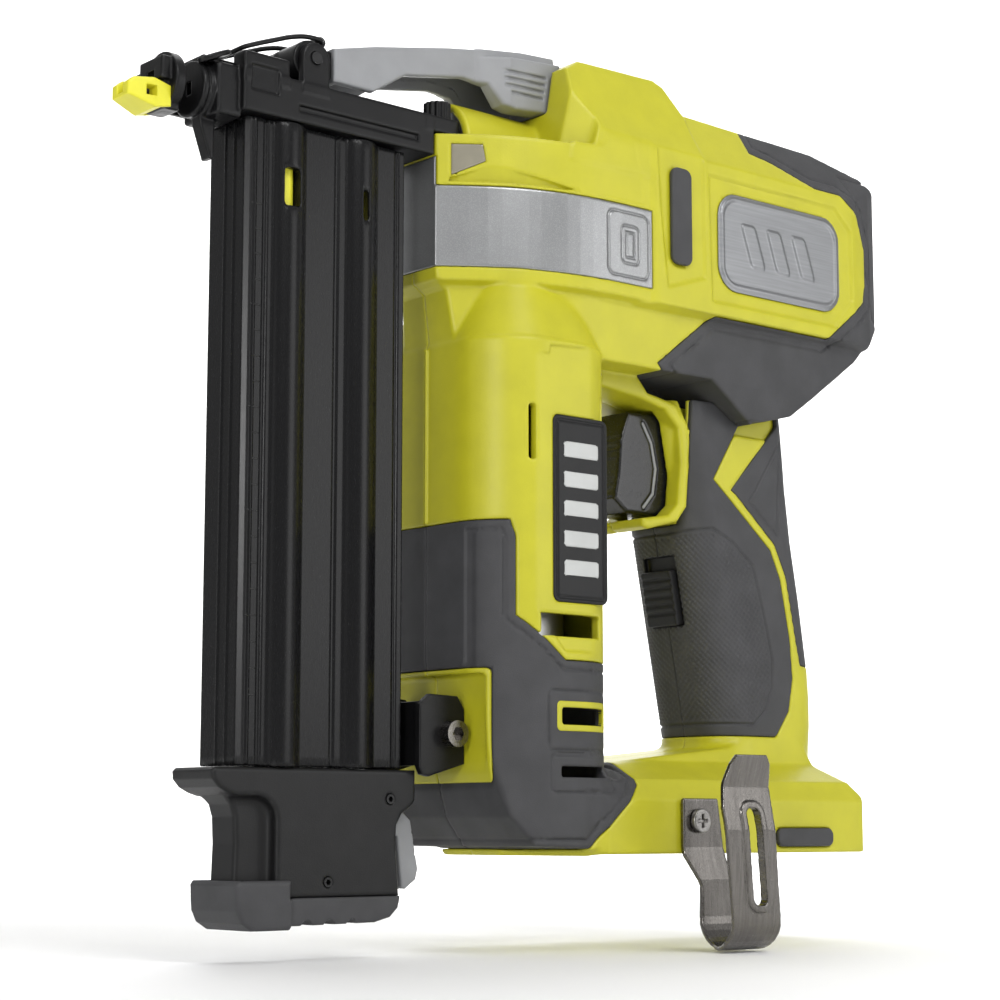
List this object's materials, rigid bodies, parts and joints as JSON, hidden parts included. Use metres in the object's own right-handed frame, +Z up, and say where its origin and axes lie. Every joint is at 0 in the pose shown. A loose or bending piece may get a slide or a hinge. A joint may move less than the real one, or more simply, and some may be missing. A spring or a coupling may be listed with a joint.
{
  "type": "cordless brad nailer",
  "caption": "Cordless 18 gauge brad nailer with upright magazine, side pump housing, pistol grip over a stem battery foot, and a reversible belt hook.",
  "frame": {"origin": "centre of the battery foot's underside", "axes": "+X to the rear of the tool, away from the nose; -Y to the tool's left side; +Z up along the magazine"},
  "size_m": [0.3155, 0.1046, 0.301],
  "materials": {
    "housing_yellow": "fine moulded texture, satin",
    "overmould": "soft-touch rubber, fine grain",
    "black_plastic": "moulded, satin",
    "black_metal": "satin black coating",
    "black_anodised": "black anodised extrusion, satin",
    "cast_silver": "speckled silver paint",
    "latch_grey": "smooth satin",
    "bright_steel": "brushed, bright nickel",
    "bare_aluminium": "machined",
    "lens": "smoked clear lens",
    "tip_yellow": "soft no-mar rubber",
    "windings": "laminations and varnished copper",
    "circuit": "potted circuit board",
    "buffer": "polyurethane buffer"
  },
  "bodies": {
    "tool": {"left_housing": "housing_yellow", "right_housing": "housing_yellow", "left_boot": "overmould", "right_boot": "overmould", "left_rear_cap": "overmould", "right_rear_cap": "overmould", "left_handle_grip": "overmould", "right_handle_grip": "overmould", "gauge_band": "cast_silver", "badge_plates": "cast_silver", "label_plates": "black_plastic", "side_bumpers": "overmould", "foot_bumpers": "overmould", "led_lenses": "lens", "housing_screws": "bright_steel", "nose_frame": "black_metal", "nose_plate_screws": "bright_steel", "magazine_rail": "black_anodised", "magazine_bracket": "black_metal", "bracket_bolt": "bright_steel", "bracket_nut": "bright_steel", "belt_hook": "bright_steel", "belt_hook_screw": "bright_steel", "terminal_block": "black_plastic", "terminal_blades": "bright_steel", "control_board": "circuit", "switch_body": "black_plastic", "motor_can": "bright_steel", "gearbox_case": "bare_aluminium", "pump_cylinder": "bare_aluminium", "transfer_tube": "bright_steel", "drive_cylinder": "bare_aluminium", "drive_bumper": "buffer", "latch_pin": "bright_steel"},
    "contact": {"contact_arm": "black_metal", "no_mar_tip": "tip_yellow"},
    "latch": {"jam_latch": "latch_grey", "latch_cam": "black_metal"},
    "bail": {"wire_bail": "black_metal"},
    "door": {"nose_door": "black_metal"},
    "magazine": {"magazine_cover": "black_anodised", "magazine_end_cap": "black_plastic", "end_cap_screws": "bright_steel", "magazine_boot": "overmould", "lever_pin": "bright_steel"},
    "lever": {"release_lever": "latch_grey"},
    "pusher": {"nail_pusher": "tip_yellow"},
    "trigger": {"trigger": "black_plastic", "trigger_spring": "bright_steel"},
    "mode": {"mode_switch": "black_plastic"},
    "driver": {"drive_piston": "bare_aluminium", "driver_blade": "bright_steel"},
    "rotor": {"motor_rotor": "windings", "motor_fan": "black_plastic"},
    "output": {"output_pinion": "bright_steel"},
    "crank": {"crankshaft": "bright_steel"},
    "piston": {"pump_piston": "bare_aluminium", "wrist_pin": "bright_steel"},
    "rod": {"con_rod": "bare_aluminium"},
    "wheel": {"depth_wheel": "black_metal"}
  },
  "joints": [
    {"name": "contact_slide", "type": "slide", "parent": "tool", "child": "contact", "axis": [1, 0, 0], "range_m": [0, 0.005], "stiffness_N_per_m": 400, "springref_m": -0.01},
    {"name": "latch_hinge", "type": "hinge", "parent": "tool", "child": "latch", "pos_m": [-0.166, 0, 0.248], "axis": [0, -1, 0], "range_deg": [0, 95]},
    {"name": "bail_hinge", "type": "hinge", "parent": "latch", "child": "bail", "pos_m": [-0.16, 0, 0.2562], "axis": [0, 1, 0], "range_deg": [0, 99.75]},
    {"name": "door_hinge", "type": "hinge", "parent": "tool", "child": "door", "pos_m": [-0.203, 0, 0.2415], "axis": [0, -1, 0], "range_deg": [0, 11.4]},
    {"name": "magazine_slide", "type": "slide", "parent": "tool", "child": "magazine", "axis": [0, 0, -1], "range_m": [0, 0.13]},
    {"name": "release_hinge", "type": "hinge", "parent": "magazine", "child": "lever", "pos_m": [-0.1295, 0, 0.0125], "axis": [0, 1, 0], "range_deg": [0, 10], "stiffness_Nm_per_rad": 0.3, "springref_deg": -11.46},
    {"name": "pusher_slide", "type": "slide", "parent": "magazine", "child": "pusher", "axis": [0, 0, -1], "range_m": [0, 0.155], "stiffness_N_per_m": 20, "springref_m": -0.12},
    {"name": "trigger_slide", "type": "slide", "parent": "tool", "child": "trigger", "axis": [1, 0, 0], "range_m": [0, 0.005], "stiffness_N_per_m": 800, "springref_m": -0.004},
    {"name": "mode_slide", "type": "slide", "parent": "tool", "child": "mode", "axis": [-0.1908, 0, 0.9816], "range_m": [0, 0.004]},
    {"name": "driver_slide", "type": "slide", "parent": "tool", "child": "driver", "axis": [-1, 0, 0], "range_m": [0, 0.0695]},
    {"name": "rotor_spin", "type": "hinge", "parent": "tool", "child": "rotor", "pos_m": [0.045, 0, 0.212], "axis": [1, 0, 0], "continuous": true},
    {"name": "output_spin", "type": "hinge", "parent": "tool", "child": "output", "pos_m": [-0.01, 0, 0.212], "axis": [1, 0, 0], "continuous": true},
    {"name": "crank_spin", "type": "hinge", "parent": "tool", "child": "crank", "pos_m": [-0.04, 0, 0.188], "axis": [1, 0, 0], "continuous": true},
    {"name": "pump_slide", "type": "slide", "parent": "tool", "child": "piston", "axis": [0, 0, 1], "range_m": [0, 0.026]},
    {"name": "rod_hinge", "type": "hinge", "parent": "piston", "child": "rod", "pos_m": [-0.09, 0, 0.12], "axis": [1, 0, 0], "range_deg": [-13, 13]},
    {"name": "wheel_turn", "type": "hinge", "parent": "tool", "child": "wheel", "pos_m": [-0.113, -0.0065, 0.24], "axis": [0, 0, 1], "range_deg": [0, 300]}
  ],
  "couplings": [
    {"joint": "bail_hinge", "follows": "latch_hinge", "ratio": 1.05},
    {"joint": "door_hinge", "follows": "latch_hinge", "ratio": 0.12},
    {"joint": "output_spin", "follows": "rotor_spin", "ratio": 0.08},
    {"joint": "crank_spin", "follows": "rotor_spin", "ratio": -0.026667}
  ]
}
